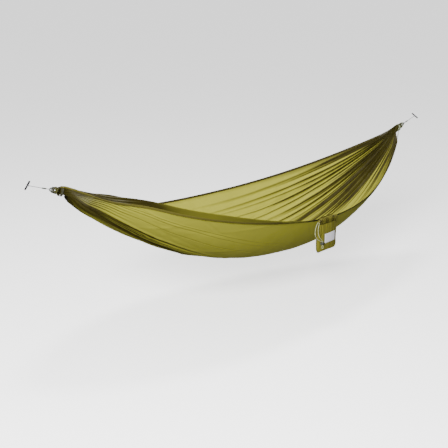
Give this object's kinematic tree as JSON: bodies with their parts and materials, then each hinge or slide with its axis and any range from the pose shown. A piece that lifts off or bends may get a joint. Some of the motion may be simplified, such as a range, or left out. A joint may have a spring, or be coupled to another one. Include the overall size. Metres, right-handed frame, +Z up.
{
  "type": "camping hammock",
  "caption": "Gathered-end nylon camping hammock slung between cord lines with toggles, its drawcord stuff pouch hanging from one hem.",
  "frame": {"origin": "bearing point of the left end loop, on the inner face of the loop's outer end, where its toggle line pulls", "axes": "+X from the left end loop to the right end loop, -Y towards the side with the pouch, +Z up"},
  "size_m": [2.9138, 0.8947, 0.611],
  "materials": {
    "nylon": "satin",
    "hem": "matte",
    "end_cord": "matte",
    "lashing": "matte",
    "line": "matte",
    "line_sleeve": "matte",
    "alloy": "satin",
    "label": "matte",
    "plastic": "matte",
    "steel": "satin"
  },
  "bodies": {
    "bed": {"bed_panel": "nylon", "near_hem": "hem", "far_hem": "hem", "pouch_tape": "hem", "right_tail_long": "lashing", "right_tail_short": "lashing", "left_end_loop": "end_cord", "left_end_channel": "nylon", "left_loop_seizing": "lashing", "left_whipping": "lashing", "right_end_loop": "end_cord", "right_end_channel": "nylon", "right_loop_seizing": "lashing", "right_whipping": "lashing"},
    "left_eye": {"left_line_eye": "line"},
    "left_line": {"left_line": "line", "left_line_sleeve": "line_sleeve"},
    "left_knot": {"left_line_knot": "line"},
    "left_toggle": {"left_toggle_bar": "alloy", "left_toggle_noose": "line"},
    "right_eye": {"right_line_eye": "line"},
    "right_line": {"right_line": "line", "right_line_sleeve": "line_sleeve"},
    "right_knot": {"right_line_knot": "line"},
    "right_toggle": {"right_toggle_bar": "alloy", "right_toggle_noose": "line"},
    "pouch": {"pouch_front": "nylon", "pouch_back": "nylon", "pouch_binding": "hem", "pouch_channel": "nylon", "pouch_label": "label", "drawcord": "lashing"},
    "cord_lock": {"cord_lock_barrel": "plastic", "cord_lock_spring": "steel"},
    "cord_lock_button": {"cord_lock_button": "plastic"}
  },
  "joints": [
    {"name": "left_line_swing", "type": "hinge", "parent": "bed", "child": "left_eye", "pos_m": [0.00382, 0, -0.00117], "axis": [0, 1, 0], "range_deg": [-60, 60]},
    {"name": "left_line_sway", "type": "hinge", "parent": "left_eye", "child": "left_line", "pos_m": [-0.0196, 0, 0.006], "axis": [0.2929, 0, 0.9561], "range_deg": [-60, 60]},
    {"name": "left_toggle_twist", "type": "hinge", "parent": "left_line", "child": "left_knot", "pos_m": [-0.11129, 0, 0.0341], "axis": [-0.9561, 0, 0.2929], "continuous": true},
    {"name": "left_toggle_tilt", "type": "hinge", "parent": "left_knot", "child": "left_toggle", "pos_m": [-0.11129, 0, 0.0341], "axis": [-0.1312, -0.8942, -0.4281], "range_deg": [-85, 85]},
    {"name": "right_line_swing", "type": "hinge", "parent": "bed", "child": "right_eye", "pos_m": [2.65354, 0, -0.00117], "axis": [0, -1, 0], "range_deg": [-60, 60]},
    {"name": "right_line_sway", "type": "hinge", "parent": "right_eye", "child": "right_line", "pos_m": [2.67697, 0, 0.006], "axis": [-0.2929, 0, 0.9561], "range_deg": [-60, 60]},
    {"name": "right_toggle_twist", "type": "hinge", "parent": "right_line", "child": "right_knot", "pos_m": [2.76866, 0, 0.0341], "axis": [0.9561, 0, 0.2929], "continuous": true},
    {"name": "right_toggle_tilt", "type": "hinge", "parent": "right_knot", "child": "right_toggle", "pos_m": [2.76866, 0, 0.0341], "axis": [0.2324, 0.6088, -0.7585], "range_deg": [-85, 85]},
    {"name": "pouch_swing", "type": "hinge", "parent": "bed", "child": "pouch", "pos_m": [1.44022, -0.39384, -0.30392], "axis": [-0.9931, -0.1173, 0], "range_deg": [0, 110]},
    {"name": "cord_lock_slide", "type": "slide", "parent": "pouch", "child": "cord_lock", "axis": [0, 0, 1], "range_m": [0, 0.075], "deforming": ["drawcord"]},
    {"name": "button_press", "type": "slide", "parent": "cord_lock", "child": "cord_lock_button", "axis": [-0.9931, -0.1173, 0], "range_m": [0, 0.0035], "stiffness_N_per_m": 200, "springref_m": -0.004, "deforming": ["cord_lock_spring"]}
  ]
}
